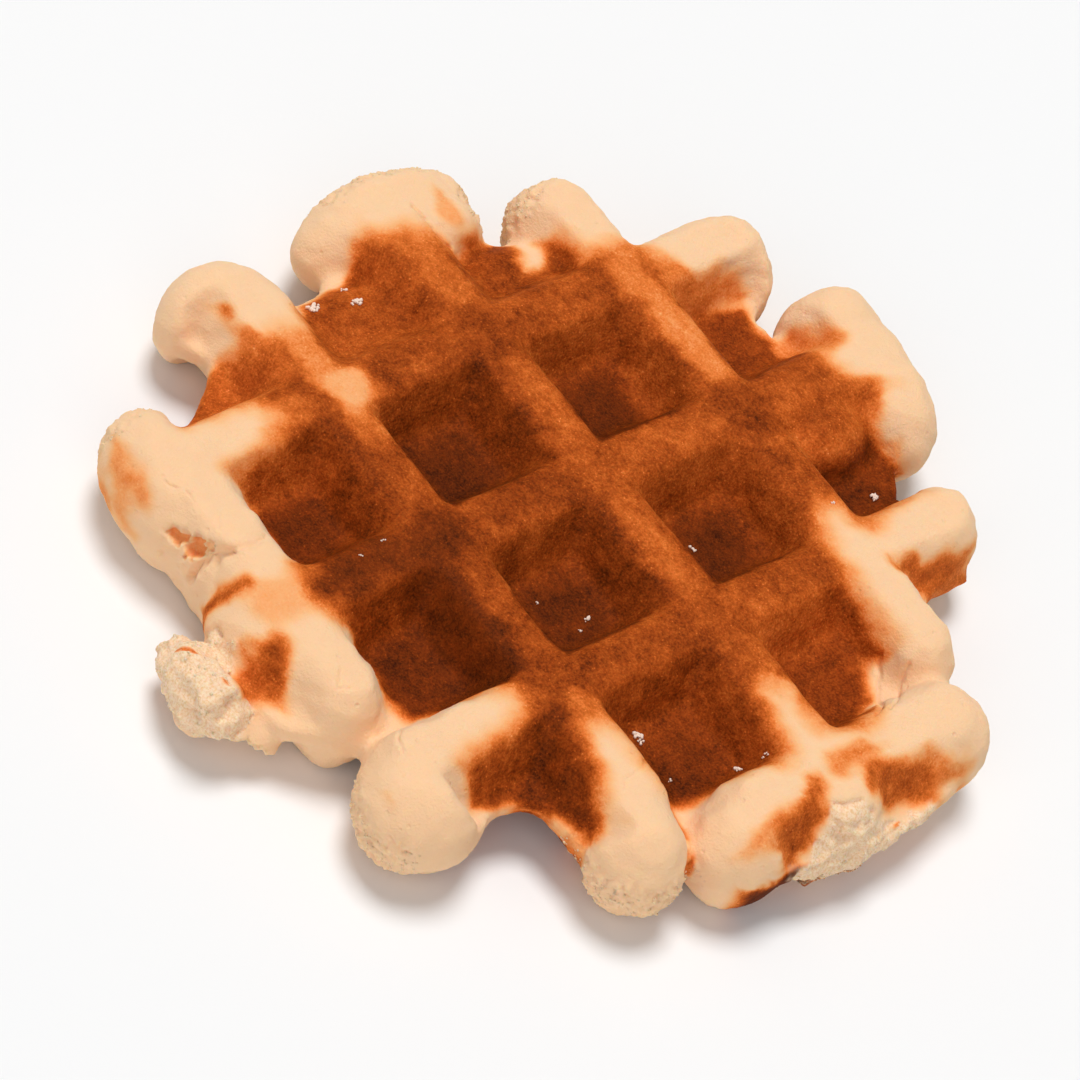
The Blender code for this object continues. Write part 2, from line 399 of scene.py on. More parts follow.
# Dry skin cracks in jogs: their length, and how far they stray as a share of the crease's half width.
jog_length = 0.025
jog_stray = 0.75
# The skin's faces are cut finer within this distance of a crease.
crease_reach = 0.025


def mesh_normals(target):
    normals = np.empty(len(target.data.vertices) * 3, dtype=np.float32)
    target.data.vertex_normals.foreach_get("vector", normals)
    return normals.reshape(-1, 3).astype(float)


def distance_to_path(places, path):
    """How far each place is from a path of straight stretches, in the plane of the grid."""
    nearest = np.full(len(places), np.inf)
    for (start_x, start_y), (end_x, end_y) in zip(path, path[1:]):
        along = np.array([end_x - start_x, end_y - start_y])
        offset = places[:, :2] - np.array([start_x, start_y])
        share = np.clip(offset @ along / (along @ along), 0.0, 1.0)
        nearest = np.minimum(nearest, np.linalg.norm(offset - share[:, None] * along, axis=1))
    return nearest


def ragged(path, width, chance):
    """The same path with small jogs, as dry skin cracks."""
    jogs = [path[0]]
    for (start_x, start_y), (end_x, end_y) in zip(path, path[1:]):
        count = max(1, round(math.hypot(end_x - start_x, end_y - start_y) / jog_length))
        for number in range(1, count + 1):
            share = number / count
            stray_x = chance.uniform(-jog_stray, jog_stray) * width
            stray_y = chance.uniform(-jog_stray, jog_stray) * width
            jogs.append((start_x + (end_x - start_x) * share + stray_x,
                         start_y + (end_y - start_y) * share + stray_y))
    return jogs


def refine(target, wanted, cuts):
    """Cuts the faces finer whose centres are wanted."""
    centres = np.empty(len(target.data.polygons) * 3)
    target.data.polygons.foreach_get("center", centres)
    chosen = wanted(grid_points(centres.reshape(-1, 3)))
    select_only(target)
    bpy.context.tool_settings.mesh_select_mode = (False, False, True)
    bpy.ops.object.mode_set(mode="EDIT")
    bpy.ops.mesh.select_all(action="DESELECT")
    bpy.ops.object.mode_set(mode="OBJECT")
    target.data.polygons.foreach_set("select", chosen)
    bpy.ops.object.mode_set(mode="EDIT")
    bpy.ops.mesh.subdivide(number_cuts=cuts)
    bpy.ops.object.mode_set(mode="OBJECT")


def near_a_crease(places):
    near = hole_depth(places) > 0.05
    for path, *sizes in creases.values():
        near |= distance_to_path(places, path) < crease_reach
    return near & (places[:, 2] > 0)


def hole_depth(places):
    """How deep the hole is at each place, in mm. Its rim is ragged."""
    depth = np.zeros(len(places))
    near = np.hypot(places[:, 0] - hole[0][0], places[:, 1] - hole[0][1]) < near_the_hole
    drift = [noise.noise_vector(place) for place in (places[near] / hole_noise_spacing).tolist()]
    moved = places[near] + hole_noise_reach * np.array(drift).reshape(-1, 3)
    for oval in hole:
        depth[near] = np.maximum(depth[near], oval[-1] * spot_share(moved, oval))
    return depth * (places[:, 2] > 0)


def press_creases(target):
    """Sinks each crease into the upper side along the skin's own normals."""
    chance = random.Random(3)
    points = mesh_points(target)
    places = grid_points(points)
    normals = mesh_normals(target)
    sink = np.zeros(len(points))
    for path, width, depth in creases.values():
        jogs = ragged(path, width * millimetre / grid_step, chance)
        away = distance_to_path(places, jogs) * grid_step / millimetre
        sink = np.maximum(sink, depth * np.exp(-(away / width) ** 2))
    sink *= places[:, 2] > 0
    sink += hole_depth(places)
    move_points(target, points - normals * (sink * millimetre)[:, None])


# The dough stays this far above the table, so that the two faces don't flicker.
table_gap = 0.05 * millimetre


def rest_on_table(target):
    """Flattens what the swelling pushed into the table."""
    points = mesh_points(target)
    points[:, 2] = np.maximum(points[:, 2], lowest.z + table_gap)
    move_points(target, points)


def swell(target, name, size, strength, group="", level=0.5):
    """Uneven swelling of the skin: hills of a size and height in mm, about a level of 0 to 1."""
    hills = bpy.data.textures.new(name, "CLOUDS")
    hills.noise_scale = size * millimetre
    hills.noise_depth = 1
    apply_modifier(target, "DISPLACE", texture=hills, texture_coords="LOCAL", mid_level=level,
                   strength=strength * millimetre, vertex_group=group)
    bpy.data.textures.remove(hills)


def skin_group(target, name, shares):
    """A vertex group that holds a share for each point."""
    group = target.vertex_groups.new(name=name)
    for number in np.flatnonzero(shares > 0.01):
        group.add([int(number)], float(shares[number]), "REPLACE")


# Rims where dry dough crumbled when the lobes parted from their neighbours in the tray: x, y,
# radius, lowest and highest.
ragged_rims = {
    "left end of ridge 2": (-1.24, 1.36, 0.28, -0.20, 0.34),
    "left end of ridge 2, further along": (-1.22, 0.98, 0.26, -0.20, 0.34),
    "right side of ridge 2's left end": (-0.84, 1.58, 0.18, -0.20, 0.30),
    "left end of ridge 3": (-0.82, 1.84, 0.25, -0.25, 0.34),
    "lower end of cross ridge 1": (-0.46, -1.00, 0.22, -0.20, 0.26),
    "lower end of cross ridge 3": (2.10, -1.20, 0.34, -0.25, 0.08),
    "right end of ridge 1": (3.10, -0.10, 0.30, -0.25, 0.08),
    "right end of ridge 1, near": (2.80, -0.32, 0.22, -0.25, 0.06),
}
# A rim fades from this share of its radius, over this height, and where the skin turns level.
rim_full_share = 0.7
rim_height_fade = 0.05
rim_steepness = (0.92, 0.7)


def rim_share(places, normals):
    """How ragged the skin is: 1 on the steep sides of the rims above, 0 away from them."""
    share = np.zeros(len(places))
    for x, y, radius, low, high in ragged_rims.values():
        away = np.hypot(places[:, 0] - x, places[:, 1] - y)
        here = smooth_step(radius, radius * rim_full_share, away)
        here *= (smooth_step(low - rim_height_fade, low, places[:, 2])
                 * smooth_step(high + rim_height_fade, high, places[:, 2]))
        share = np.maximum(share, here)
    return share * smooth_step(*rim_steepness, normals[:, 2])


def spot_share(places, spot):
    """How far each place lies in an oval spot: 1 well inside it, fading to 0 outside."""
    x, y, radius_x, radius_y, turn = spot[:5]
    angle = math.radians(turn)
    offset_x, offset_y = places[:, 0] - x, places[:, 1] - y
    along = (offset_x * math.cos(angle) + offset_y * math.sin(angle)) / radius_x
    across = (offset_y * math.cos(angle) - offset_x * math.sin(angle)) / radius_y
    return 1 - smooth_step(1 - spot_fade, 1 + spot_fade, np.hypot(along, across))


def torn_share(places):
    """1 where the skin is torn off the crumb, 0 where it is whole, with a ragged edge between."""
    share = np.zeros(len(places))
    for *crumb, outline in tears.values():
        inside = depth_inside(places, outline)
        for number in np.flatnonzero(np.abs(inside) < 2 * tear_noise_reach):
            drift = noise.noise(Vector(places[number]) * tear_noise_scale)
            inside[number] += tear_noise_reach * drift
        share = np.maximum(share, smooth_step(*tear_edge, inside))
    share *= smooth_step(torn_lowest - tear_low_fade, torn_lowest, places[:, 2])
    for flake in skin_flakes:
        share *= 1 - spot_share(places, flake)
    return share


def depth_inside(places, outline):
    """Distance to a closed outline, positive inside it."""
    away = distance_to_path(places, outline + outline[:1])
    inside = np.zeros(len(places), dtype=bool)
    x, y = places[:, 0], places[:, 1]
    for (start_x, start_y), (end_x, end_y) in zip(outline, outline[1:] + outline[:1]):
        if start_y == end_y:
            continue
        crosses = (start_y > y) != (end_y > y)
        crossing_x = start_x + (end_x - start_x) * (y - start_y) / (end_y - start_y)
        inside ^= crosses & (x < crossing_x)
    return np.where(inside, away, -away)


def near_a_rim(places):
    upright = np.zeros(places.shape)
    return rim_share(places, upright) > 0.05


refine(dough, near_a_rim, 1)
refine(dough, lambda places: torn_share(places) > 0, 1)
refine(dough, near_a_crease, 2)

# The browned crust ---------------------------------------------------------------------------
# The irons browned what they touched: the pits most, the ridges less. Tone 0 is pale dough and 1
# is nearly burnt. The browning stops at an edge that wanders between the lobes. The pits' walls and
# the hole also carry painted shade.
browned_edge = {
    "left end of ridge 1": [(-0.44, 0.13)],
    "web between ridges 1 and 2": [(-0.66, 0.33), (-0.70, 0.62)],
    "left end of ridge 2": [(-0.84, 0.79), (-0.77, 0.90), (-0.73, 1.10), (-0.66, 1.17)],
    "web between ridges 2 and 3": [
        (-0.57, 1.22), (-0.60, 1.34), (-0.62, 1.50), (-0.58, 1.62), (-0.47, 1.64), (-0.38, 1.58),
        (-0.29, 1.56), (-0.27, 1.65), (-0.39, 1.75), (-0.48, 1.79), (-0.31, 1.84),
    ],
    "left end of ridge 3": [(-0.22, 1.88), (-0.20, 2.06), (-0.14, 2.19)],
    "upper end of cross ridge 1": [(0.14, 2.24), (0.26, 2.42)],
    "upper left pit": [(0.31, 2.62), (0.45, 2.66), (0.64, 2.64)],
    "upper end of cross ridge 2": [(0.64, 2.66), (1.10, 2.66), (1.16, 2.80), (1.32, 2.74)],
    "upper right pit": [(1.44, 2.70), (1.53, 2.77), (1.68, 2.80), (1.84, 2.62), (1.86, 2.34)],
    "upper end of cross ridge 3": [(1.92, 2.14), (1.76, 2.03)],
    "right end of ridge 3": [(1.86, 1.88), (2.10, 1.86), (2.56, 1.81), (2.53, 1.73)],
    "corner pit": [(2.68, 1.63), (2.81, 1.48), (2.88, 1.32), (2.83, 1.10)],
    "right end of ridge 2": [(2.56, 1.07), (2.54, 0.93)],
    "cross ridge 4": [(2.84, 0.87), (2.85, 0.75), (2.80, 0.52), (2.76, 0.16)],
    "right end of ridge 1": [(2.28, 0.12), (2.26, -0.05), (2.50, -0.12), (2.74, -0.20)],
    "web between the lower right lobes": [
        (2.76, -0.28), (2.45, -0.34), (2.36, -0.50), (2.30, -0.66), (2.16, -0.70),
    ],
    "lower end of cross ridge 3": [(2.11, -0.42), (2.02, -0.24), (1.92, -0.24), (1.82, -0.40)],
    "lower right pit": [(1.75, -0.62), (1.60, -0.70), (1.38, -0.66), (1.24, -0.72)],
    "lower end of cross ridge 2": [(1.12, -0.81), (0.96, -0.88), (0.86, -0.80)],
    "lower left pit": [(0.70, -0.66), (0.55, -0.68), (0.30, -0.66), (0.18, -0.73)],
    "lower end of cross ridge 1": [(0.14, -0.48), (0.04, -0.36), (-0.12, -0.40), (-0.17, -0.78)],
    "web between the lower left lobes": [(-0.33, -0.68), (-0.56, -0.36), (-0.47, -0.12)],
}
ridge_edge_softness = 0.12
pit_edge_softness = 0.055
ridge_tone = 0.69
beside_narrow_pit = 0.58
# The thin web's side, which no iron touched, is no darker than this.
lip_tone = 0.45
# Noise that makes the browned edges wander: its spacing and reach.
edge_unevenness = ((0.14, 0.05), (0.04, 0.012))
# The pits by their lowest x and y: the tones of the floor, the wall facing X and the wall facing
# back along Y. The walls' tones are partly browning and partly painted light and shade, set apart
# by the way each wall faces the light.
pit_tones_and_wall_shade = {
    (-1, -1): (0.60, 0.60, 0.60), (-1, 0): (0.69, 0.69, 0.69), (-1, 1): (0.74, 0.74, 0.74),
    (0, -1): (0.88, 0.62, 0.78), (0, 0): (0.90, 0.74, 0.80), (0, 1): (0.90, 0.66, 0.68),
    (0, 2): (0.79, 0.72, 0.79), (1, -1): (0.88, 0.79, 0.90), (1, 0): (0.89, 0.74, 0.80),
    (1, 1): (0.90, 0.69, 0.71), (1, 2): (0.86, 0.76, 0.86), (2, -1): (0.80, 0.72, 0.85),
    (2, 0): (0.85, 0.74, 0.77), (2, 1): (0.81, 0.63, 0.74),
}
# How far the paler top of each ridge reaches from its line, before it turns as brown as the wall:
# back along Y on the ridges along X, forward along X on the ridges along Y.
pale_reach_along_x = {0: 0.05, 1: 0.11, 2: 0.13}
pale_reach_along_y = {0: 0.09, 1: 0.075, 2: 0.07}
pale_reach_softness = 0.06
pale_top_end = (0.17, 0.13)

# Places where the baking differs: x, y, radius along x and y, turn in degrees, tone.
spots = {
    "ridge 1": [
        (-0.30, 0.03, 0.30, 0.12, 0, 0.43), (0.26, 0.05, 0.16, 0.08, 0, 0.56),
        (0.60, 0.05, 0.24, 0.07, 0, 0.69), (1.00, 0.00, 0.20, 0.18, 0, 0.87),
        (1.45, 0.05, 0.34, 0.08, 0, 0.72), (2.00, 0.00, 0.16, 0.14, 0, 0.72),
        (2.17, 0.04, 0.10, 0.10, 0, 0.56),
    ],
    "ridge 2": [
        (-0.48, 1.00, 0.32, 0.14, 0, 0.53), (0.48, 1.03, 0.38, 0.08, 0, 0.62),
        (1.50, 0.98, 0.34, 0.10, 0, 0.55), (2.00, 1.00, 0.14, 0.12, 0, 0.66),
        (2.32, 1.02, 0.18, 0.10, 0, 0.64), (2.52, 1.00, 0.10, 0.10, 0, 0.40),
        (0.00, 1.02, 0.18, 0.15, 0, 0.74),
    ],
    "ridge 3": [
        (0.45, 2.02, 0.42, 0.11, 0, 0.42), (1.40, 2.03, 0.28, 0.10, 0, 0.67),
        (1.74, 2.00, 0.12, 0.11, 0, 0.46), (0.00, 1.98, 0.16, 0.12, 0, 0.46),
        (1.00, 2.00, 0.18, 0.16, 0, 0.77),
    ],
    "cross ridge 1": [
        (0.02, -0.26, 0.11, 0.13, 0, 0.50), (0.00, 1.48, 0.12, 0.30, 0, 0.70),
    ],
    "cross ridge 2": [
        (1.00, -0.45, 0.20, 0.36, 0, 0.88), (1.00, 0.56, 0.16, 0.30, 0, 0.80),
        (1.00, 1.55, 0.12, 0.34, 0, 0.61), (1.02, 2.42, 0.10, 0.14, 0, 0.63),
    ],
    "cross ridge 3": [
        (2.00, 0.50, 0.14, 0.34, 0, 0.72), (2.00, 1.50, 0.14, 0.30, 0, 0.70),
    ],
}
# The same where no iron touched, or hardly.
lobe_spots = [
    (0.03, 0.11, 0.14, 0.14, 0, 0.24), (-0.60, -0.21, 0.18, 0.07, 4, 0.50),
    (-0.80, 1.33, 0.14, 0.06, 0, 0.27), (0.98, -0.98, 0.14, 0.14, 0, 0.22),
    (1.08, -1.30, 0.04, 0.04, 0, 0.40),
    (2.10, -1.15, 0.10, 0.03, 0, 0.24), (1.21, 2.48, 0.13, 0.36, 0, 0.66),
]

# Patches on the lobes, with a ragged edge: the tone, then the outline.
patch_softness = 0.05
patches = {
    "on the lower end of cross ridge 1": (0.36, [
        (-0.32, -1.12), (-0.25, -1.12), (-0.14, -1.14), (0.02, -1.12), (0.10, -1.16), (0.13, -1.21),
        (0.04, -1.24), (-0.08, -1.24), (-0.19, -1.21)]),
    "beside the seam of the lower left lobes": (0.62, [
        (0.76, -1.32), (0.67, -1.22), (0.70, -1.11), (0.77, -1.05), (0.86, -1.03), (0.88, -1.08),
        (0.81, -1.15)]),
    "on the lower end of cross ridge 2": (0.58, [
        (1.04, -1.24), (1.12, -1.18), (1.08, -1.09), (1.17, -1.07), (1.25, -1.11), (1.32, -1.15),
        (1.40, -1.22), (1.31, -1.29), (1.26, -1.35), (1.19, -1.38), (1.12, -1.33), (1.11, -1.26)]),
    "core of it": (0.70, [
        (1.14, -1.12), (1.23, -1.12), (1.30, -1.19), (1.22, -1.23), (1.15, -1.19)]),
    "on the upper end of cross ridge 1": (0.46, [
        (0.07, 2.22), (0.14, 2.35), (0.15, 2.52), (0.19, 2.65), (0.24, 2.70), (0.27, 2.62),
        (0.27, 2.50), (0.28, 2.40), (0.30, 2.30), (0.22, 2.12)]),
    "on the upper end of cross ridge 2": (0.44, [
        (0.60, 2.66), (0.58, 2.76), (0.72, 2.84), (0.84, 2.88), (0.90, 2.83), (0.89, 2.70),
        (0.82, 2.62)]),
    "on the upper end of cross ridge 3": (0.56, [
        (2.12, 2.12), (2.19, 2.40), (2.22, 2.69), (2.18, 2.86), (2.27, 2.88), (2.31, 2.70),
        (2.35, 2.55), (2.39, 2.36), (2.27, 2.27), (2.19, 2.13)]),
    "on the upper end of cross ridge 4": (0.60, [
        (3.08, 1.13), (3.09, 1.25), (3.15, 1.42), (3.18, 1.58), (3.30, 1.62), (3.31, 1.42),
        (3.29, 1.25), (3.25, 1.11), (3.19, 1.08)]),
    "its pale end": (0.42, [
        (3.17, 1.54), (3.21, 1.66), (3.26, 1.84), (3.31, 1.76), (3.31, 1.56)]),
    "on the lower end of cross ridge 4": (0.62, [
        (3.13, 0.88), (3.18, 0.83), (3.25, 0.77), (3.29, 0.72), (3.30, 0.62), (3.27, 0.48),
        (3.20, 0.42), (3.14, 0.51), (3.12, 0.61), (3.12, 0.74), (3.04, 0.81), (2.98, 0.82),
        (3.01, 0.90)]),
    "its pale end, near": (0.34, [
        (3.24, 0.52), (3.22, 0.34), (3.17, 0.30), (3.13, 0.40), (3.16, 0.52)]),
    "across cross ridge 4": (0.42, [
        (2.97, 1.00), (2.97, 1.11), (2.95, 1.26), (3.02, 1.34), (3.07, 1.28), (3.08, 1.14),
        (3.10, 1.00), (3.04, 0.96)]),
}

# Where the lower iron browned the rim, seen under the overhang: the height it reaches, the spot.
underside_spots = [
    (0.03, (3.33, 0.56, 0.14, 0.26, 0, 0.94)), (-0.05, (3.40, 1.25, 0.09, 0.46, 0, 0.80)),
    (0.12, (2.96, 0.15, 0.24, 0.05, -18, 0.46)),
]
underside_fade = 0.03
underside_wander = 1.5

# Where one tone gives way to the next, as the start and end of a smooth step: a wall by the distance
# from its ridge, a narrow pit's mouth and a ridge and a face by the share of the pits' depth, the
# upper side by height, the lip by steepness, and the hole by its depth in mm.
wall_zone = (0.42, 0.18)
mouth_zone = (0.25, 0.75)
ridge_zone = (0.05, 0.50)
face_zone = (0.15, 0.55)
upper_side_zone = (-0.16, -0.08)
lip_zone = (0.75, 0.95)
lip_fade = 0.06
hole_zone = (0.5, 1.3)


def wander(places):
    """The places moved about by noise, so that an edge laid on them wanders as baking does."""
    moved = places.copy()
    for spacing, reach in edge_unevenness:
        drift = [noise.noise_vector(place) for place in (places / spacing).tolist()]
        moved += reach * np.array(drift)
    return moved


def pale_tops(places):
    """1 on the paler tops of the ridges, fading to 0 towards the pits."""
    share = np.zeros(len(places))
    for line, reach in pale_reach_along_x.items():
        away = places[:, 1] - line
        top = smooth_step(-reach - pale_reach_softness, -reach + pale_reach_softness, away)
        share = np.maximum(share, top * smooth_step(*pale_top_end, away))
    for line, reach in pale_reach_along_y.items():
        away = places[:, 0] - line
        top = smooth_step(reach + pale_reach_softness, reach - pale_reach_softness, away)
        share = np.maximum(share, top * smooth_step(*pale_top_end, -away))
    return share


def bake_pits(places, depth):
    """The tone of each pit's floor and walls, with painted light and shade on the walls by the way
    they face, and the ridges' tone where no pit is.
    """
    past_x = places[:, 0] - np.floor(places[:, 0])
    before_y = 1 - places[:, 1] + np.floor(places[:, 1])
    faces_x = smooth_step(*wall_zone, past_x)
    faces_back = smooth_step(*wall_zone, before_y)
    in_pit = np.full(len(places), ridge_tone)
    for (x, y), (floor, wall_x, wall_back) in pit_tones_and_wall_shade.items():
        here = (np.floor(places[:, 0]) == x) & (np.floor(places[:, 1]) == y)
        # The wall facing X and the wall facing back along Y take their own tones: painted light and
        # shade.
        wall = floor + (wall_x - floor) * faces_x[here]
        in_pit[here] = wall + (wall_back - wall) * faces_back[here]
        if (x, y) == narrow_pit:
            in_mouth = smooth_step(*mouth_zone, depth[here])
            in_pit[here] = beside_narrow_pit + (in_pit[here] - beside_narrow_pit) * in_mouth
    return in_pit


def bake_tops(moved):
    """The tone of the ridges' tops."""
    tops = np.full(len(moved), ridge_tone)
    for spot in [spot for group in spots.values() for spot in group]:
        tops += (spot[-1] - tops) * spot_share(moved, spot)
    return tops


def bake(places, normals):
    """The tone of each place on a face, from its x and y, its depth and where it faces."""
    depth = (half - np.abs(places[:, 2])) / pit_depth
    steepness = 1 - np.abs(normals[:, 2])
    moved = wander(places)
    in_pit = bake_pits(places, depth)
    tone = in_pit + (bake_tops(moved) - in_pit) * pale_tops(moved)

    outline = [point for stretch in browned_edge.values() for point in stretch]
    on_ridge = 1 - smooth_step(*ridge_zone, depth)
    softness = pit_edge_softness + (ridge_edge_softness - pit_edge_softness) * on_ridge
    tone *= smooth_step(-softness, softness, depth_inside(moved, outline))
    on_upper_side = smooth_step(*upper_side_zone, places[:, 2])
    for tone_there, outline in patches.values():
        share = smooth_step(-patch_softness, patch_softness, depth_inside(moved, outline))
        tone += (tone_there - tone) * share * on_upper_side
    on_face = 1 - smooth_step(*face_zone, depth)
    for spot in lobe_spots:
        tone += (spot[-1] - tone) * spot_share(moved, spot) * on_face
    for spot in skin_flakes:
        tone += (spot[-1] - tone) * spot_share(places, spot)
    # Inside the hole: its tan tone with painted shade.
    tone += (hole_tone_and_shade - tone) * smooth_step(*hole_zone, hole_depth(places))
    lip = smooth_step(*lip_zone, steepness)
    lip *= smooth_step(web_half + lip_fade, web_half, np.abs(places[:, 2]))
    tone += (np.minimum(tone, lip_tone) - tone) * lip
    heights = places[:, 2] + underside_wander * (moved - places)[:, 2]
    for height, spot in underside_spots:
        under = smooth_step(height + underside_fade, height - underside_fade, heights)
        tone += (spot[-1] - tone) * spot_share(places, spot) * under
    return tone


def attribute(target, name, values):
    layer = target.data.attributes.new(name, "FLOAT", "POINT")
    layer.data.foreach_set("value", np.asarray(values, dtype=np.float32))


def brown(target):
    """Lays the tone of the crust and the share of torn crumb on the points."""
    places = grid_points(mesh_points(target))
    tone = bake(places, mesh_normals(target))
    torn = torn_share(places)
    attribute(target, "browning", tone)
    attribute(target, "torn", torn)
    return tone, torn


def paint(code):
    """An sRGB hex colour as the linear colour that a socket takes."""
    parts = [int(code[place:place + 2], 16) / 255 for place in (1, 3, 5)]
    linear = [part / 12.92 if part <= 0.04045 else ((part + 0.055) / 1.055) ** 2.4 for part in parts]
    return (*linear, 1.0)


def node(tree, kind, inputs=None, **settings):
    """Adds a node with its settings. An input is a value or the output of another node."""
    made = tree.nodes.new(kind)
    for name, value in settings.items():
        setattr(made, name, value)
    for name, value in (inputs or {}).items():
        if isinstance(value, bpy.types.NodeSocket):
            tree.links.new(value, made.inputs[name])
        else:
            made.inputs[name].default_value = value
    return made


# Baked yeast dough: matt and creamy where it is pale, a fine pored brown crust where it is baked,
# with a slight dry gloss. Tones of the crust from pale dough to nearly burnt.
crust_tones = [
    (0.00, "#FACDA2"), (0.14, "#FABE88"), (0.28, "#F6A262"), (0.42, "#E9813C"), (0.52, "#D46C29"),
    (0.62, "#BC591D"), (0.72, "#A24813"), (0.82, "#85370B"), (0.92, "#622706"), (1.00, "#3A1403"),
]
# Open crumb in the tears, its own pale tan with painted light and shade: paler on the raised tips
# of its fine relief, darker and yellower in its hollows.
crumb_lit_tips = "#FBDDBE"
crumb_shaded_hollows = "#EFC495"
grit_size = 0.3 * millimetre
speck_spacing = 0.8 * millimetre
pore_spacing = 2.4 * millimetre
# Uneven baking: size of each pattern, its detail and roughness, and how far it shifts the tone.
unevenness = {
    "blotches": (6.0 * millimetre, 5.0, 0.62, 0.38),
    "mottles": (2.0 * millimetre, 3.0, 0.55, 0.22),
    "grain": (0.9 * millimetre, 3.0, 0.60, 0.25),
    "grit": (grit_size, 2.0, 0.60, 0.38),
}


def baked_dough_material():
    material = bpy.data.materials.new("baked_yeast_dough")
    material.use_nodes = True
    tree = material.node_tree
    shader = tree.nodes["Principled BSDF"]
    place = node(tree, "ShaderNodeTexCoord").outputs["Object"]
    tone = node(tree, "ShaderNodeAttribute", attribute_name="browning").outputs["Fac"]
    patterns = {}
    shifts = 0.0
    for name, (size, detail, roughness, reach) in unevenness.items():
        patterns[name] = node(tree, "ShaderNodeTexNoise", {
            "Vector": place, "Scale": 1 / size, "Detail": detail, "Roughness": roughness}).outputs["Fac"]
        shift = node(tree, "ShaderNodeMapRange", {
            "Value": patterns[name], "From Min": 0.3, "From Max": 0.7,
            "To Min": -reach, "To Max": reach}).outputs[0]
        shifts = node(tree, "ShaderNodeMath", {0: shifts, 1: shift}, operation="ADD").outputs[0]

    # Uneven baking is strongest on the ridges' brown, and hardly shows on pale dough.
    pale_share = node(tree, "ShaderNodeMath", {0: 1.6, 1: tone}, operation="MULTIPLY").outputs[0]
    pale_share = node(tree, "ShaderNodeMath", {
        0: pale_share, 1: -1.0, 2: 1.6}, operation="MULTIPLY_ADD").outputs[0]
    weight = node(tree, "ShaderNodeMath", {0: tone, 1: tone}, operation="MULTIPLY").outputs[0]
    weight = node(tree, "ShaderNodeMath", {0: weight, 1: pale_share}, operation="MULTIPLY").outputs[0]
    baked = node(tree, "ShaderNodeMath", {
        0: shifts, 1: weight, 2: tone}, operation="MULTIPLY_ADD").outputs[0]

    # Small paler specks scattered over the brown crust, strongest where it is browned.
    speck = node(tree, "ShaderNodeTexVoronoi", {
        "Vector": place, "Scale": 1 / speck_spacing, "Randomness": 1.0}).outputs["Distance"]
    specks = node(tree, "ShaderNodeMapRange", {
        "Value": speck, "From Min": 0.07, "From Max": 0.18, "To Min": -0.7, "To Max": 0.0}).outputs[0]
    baked = node(tree, "ShaderNodeMath", {
        0: specks, 1: weight, 2: baked}, operation="MULTIPLY_ADD").outputs[0]

    ramp = node(tree, "ShaderNodeValToRGB", {"Fac": baked})
    stops = ramp.color_ramp.elements
    for position, code in crust_tones[1:-1]:
        stops.new(position)
    for stop, (position, code) in zip(stops, crust_tones):
        stop.position = position
        stop.color = paint(code)
    torn = node(tree, "ShaderNodeAttribute", attribute_name="torn").outputs["Fac"]
    # The crumb's colour follows the grit relief of the bump: painted light on tips, painted shade in
    # hollows.
    fine = node(tree, "ShaderNodeMapRange", {
        "Value": patterns["grit"], "From Min": 0.35, "From Max": 0.62}).outputs[0]
    crumb_colour = node(tree, "ShaderNodeMix", {
        "Factor": fine, 6: paint(crumb_shaded_hollows), 7: paint(crumb_lit_tips)}, data_type="RGBA").outputs[2]
    colour = node(tree, "ShaderNodeMix", {
        "Factor": torn, 6: ramp.outputs["Color"], 7: crumb_colour}, data_type="RGBA").outputs[2]
    tree.links.new(colour, shader.inputs["Base Color"])

    gloss = node(tree, "ShaderNodeMapRange", {
        "Value": baked, "From Min": 0.0, "From Max": 1.0, "To Min": 0.85, "To Max": 0.65}).outputs[0]
    tree.links.new(gloss, shader.inputs["Roughness"])
    shader.inputs["Specular IOR Level"].default_value = 0.05
    shader.inputs["Subsurface Weight"].default_value = 0.4
    shader.inputs["Subsurface Radius"].default_value = (1.0, 0.45, 0.2)
    shader.inputs["Subsurface Scale"].default_value = 1.6 * millimetre

    # Pores and the two finer patterns make the crust's fine relief.
    pore = node(tree, "ShaderNodeTexVoronoi", {
        "Vector": place, "Scale": 1 / pore_spacing, "Randomness": 1.0}).outputs["Distance"]
    pores = node(tree, "ShaderNodeMapRange", {
        "Value": pore, "From Min": 0.04, "From Max": 0.14, "To Min": -1.0, "To Max": 0.0}).outputs[0]
    relief = node(tree, "ShaderNodeMath", {
        0: patterns["grain"], 1: patterns["grit"]}, operation="ADD").outputs[0]
    relief = node(tree, "ShaderNodeMath", {0: relief, 1: pores}, operation="ADD").outputs[0]
    bump = node(tree, "ShaderNodeBump", {
        "Height": relief, "Strength": 0.5, "Distance": 0.25 * millimetre}).outputs["Normal"]
    tree.links.new(bump, shader.inputs["Normal"])
    return material


tone, torn = brown(dough)
skin_group(dough, "soft_skin", (1 - smooth_step(0.2, 0.6, tone)) * (1 - torn))
skin_group(dough, "torn_crumb", torn)
skin_group(dough, "ragged_rims", rim_share(grid_points(mesh_points(dough)), mesh_normals(dough)))
swell(dough, "swelling", 5.0, 0.9, "soft_skin")
swell(dough, "wrinkles", 1.6, 0.35, "soft_skin")
swell(dough, "ragged", 0.8, 0.75, "ragged_rims")
swell(dough, "torn_lumps", 2.0, 1.5, "torn_crumb", 0.55)
swell(dough, "torn_holes", 0.8, 0.45, "torn_crumb", 0.5)
swell(dough, "pores", 2.2, 0.15)
press_creases(dough)
rest_on_table(dough)
select_only(dough)
bpy.ops.object.shade_smooth()
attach(dough, "root")
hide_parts("waffle")
dough.data.materials.clear()
crust = baked_dough_material()
dough.data.materials.append(crust)

